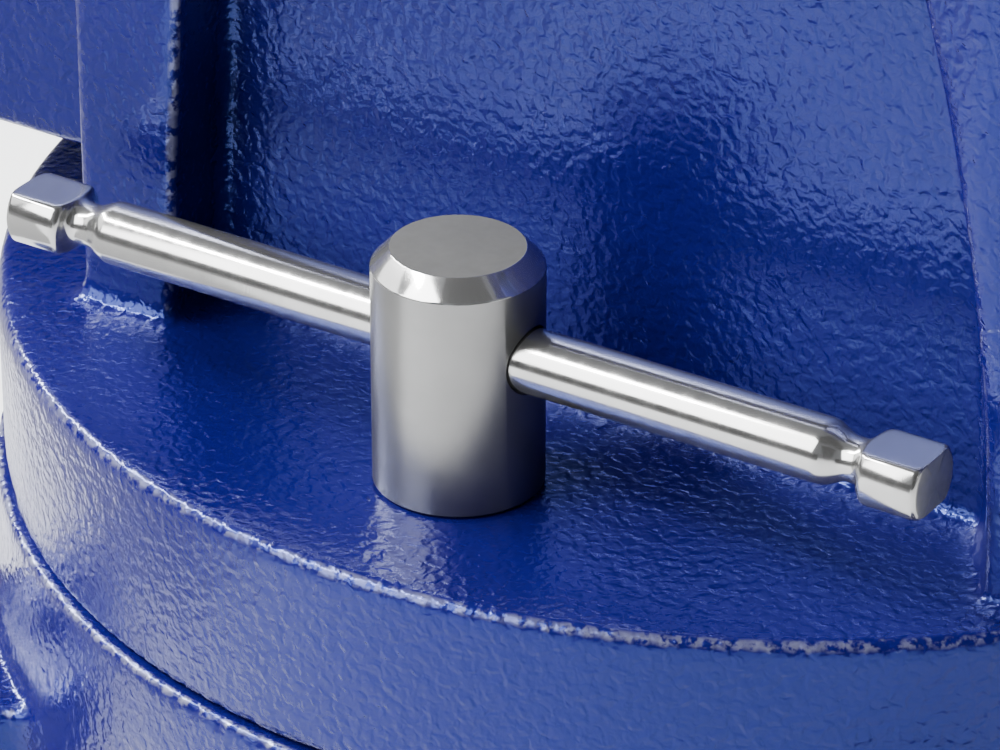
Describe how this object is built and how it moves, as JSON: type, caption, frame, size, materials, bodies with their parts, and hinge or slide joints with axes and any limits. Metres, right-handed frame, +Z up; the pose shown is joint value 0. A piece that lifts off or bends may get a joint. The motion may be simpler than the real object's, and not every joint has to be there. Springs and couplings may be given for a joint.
{
  "type": "bench vise",
  "caption": "Swivel-base bench vise with flat and pipe jaws, a hollow slide beam on a main screw, and turntable lock bolts with sliding tommy bars.",
  "frame": {"origin": "centre of the bench bolt circle on the bench's top face, on the swivel axis", "axes": "+X to the front, where the handle is; +Z up; the vise swivels about Z"},
  "size_m": [0.4152, 0.295, 0.24],
  "materials": {
    "blue_enamel": "glossy blue enamel with an orange-peel texture on cast iron",
    "bright_steel": "turned and bright nickel-plated steel",
    "jaw_steel": "hardened and ground steel",
    "black_steel": "black oxide steel",
    "plain_steel": "zinc-plated steel",
    "nut_iron": "machined cast iron",
    "washer_brass": "turned brass"
  },
  "bodies": {
    "base": {"swivel_base": "blue_enamel"},
    "turntable": {"static_body": "blue_enamel", "pivot_bolt": "plain_steel", "pivot_washer": "plain_steel", "static_jaw_plate": "jaw_steel", "static_jaw_screws": "black_steel", "static_pipe_jaw": "jaw_steel", "static_pipe_screws": "black_steel", "main_nut": "nut_iron", "nut_screws": "black_steel", "lock_nut_left": "plain_steel", "lock_nut_right": "plain_steel"},
    "sliding_jaw": {"dynamic_jaw": "blue_enamel", "dynamic_jaw_plate": "jaw_steel", "dynamic_jaw_screws": "black_steel", "dynamic_pipe_jaw": "jaw_steel", "dynamic_pipe_screws": "black_steel"},
    "screw": {"spindle": "bright_steel", "thrust_washer": "washer_brass", "retaining_washer": "plain_steel", "spindle_spring": "black_steel", "spindle_collar": "black_steel", "collar_pin": "black_steel"},
    "handle": {"handle_bar": "bright_steel", "handle_knob_left": "bright_steel", "handle_knob_right": "bright_steel"},
    "lock_bolt_left": {"lock_bolt_left": "bright_steel"},
    "lock_bar_left": {"lock_bar_left": "bright_steel"},
    "lock_bolt_right": {"lock_bolt_right": "bright_steel"},
    "lock_bar_right": {"lock_bar_right": "bright_steel"}
  },
  "joints": [
    {"name": "swivel", "type": "hinge", "parent": "base", "child": "turntable", "pos_m": [0, 0, 0.036], "axis": [0, 0, 1], "continuous": true},
    {"name": "jaw_slide", "type": "slide", "parent": "turntable", "child": "sliding_jaw", "axis": [1, 0, 0], "range_m": [0, 0.15]},
    {"name": "spindle_turn", "type": "hinge", "parent": "sliding_jaw", "child": "screw", "pos_m": [0.139, 0, 0.116], "axis": [1, 0, 0], "range_deg": [0, 8999.9]},
    {"name": "handle_slide", "type": "slide", "parent": "screw", "child": "handle", "axis": [0, 1, 0], "range_m": [-0.106, 0.106]},
    {"name": "lock_turn_left", "type": "hinge", "parent": "turntable", "child": "lock_bolt_left", "pos_m": [0, -0.0791, 0.064], "axis": [0, 0, -1], "range_deg": [-6, 6]},
    {"name": "lock_bar_slide_left", "type": "slide", "parent": "lock_bolt_left", "child": "lock_bar_left", "axis": [1, 0, 0], "range_m": [-0.048, 0.048]},
    {"name": "lock_turn_right", "type": "hinge", "parent": "turntable", "child": "lock_bolt_right", "pos_m": [0, 0.0791, 0.064], "axis": [0, 0, 1], "range_deg": [-6, 6]},
    {"name": "lock_bar_slide_right", "type": "slide", "parent": "lock_bolt_right", "child": "lock_bar_right", "axis": [1, 0, 0], "range_m": [-0.048, 0.048]}
  ],
  "couplings": [
    {"joint": "jaw_slide", "follows": "spindle_turn", "m_per_rad": 0.00095493}
  ]
}
